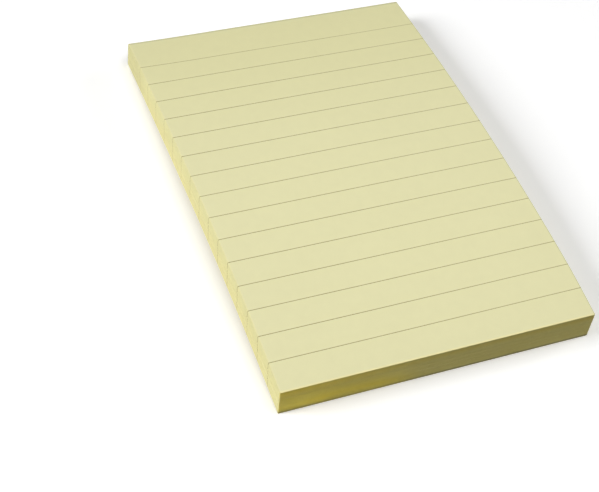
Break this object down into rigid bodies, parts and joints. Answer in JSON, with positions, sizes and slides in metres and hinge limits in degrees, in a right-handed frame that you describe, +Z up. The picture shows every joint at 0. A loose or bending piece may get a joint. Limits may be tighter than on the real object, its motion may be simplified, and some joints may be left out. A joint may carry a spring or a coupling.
{
  "type": "ruled note pad",
  "caption": "Small yellow writing pad in the legal-pad style: a square-cut block of thin ruled leaves, slightly bowed along its length and a little thinner at its bound head, with no tape, cover or backing card.",
  "frame": {"origin": "centre of the lowest side of the box around the pad, on the surface it rests on", "axes": "+X along the rules, to the right edge; +Y from the foot to the head; +Z up, out of the top leaf"},
  "size_m": [0.1016, 0.1522, 0.0133],
  "materials": {
    "paper": "matte uncoated canary yellow writing paper with thin grey rules"
  },
  "bodies": {
    "root": {"sheets": "paper"}
  },
  "joints": []
}
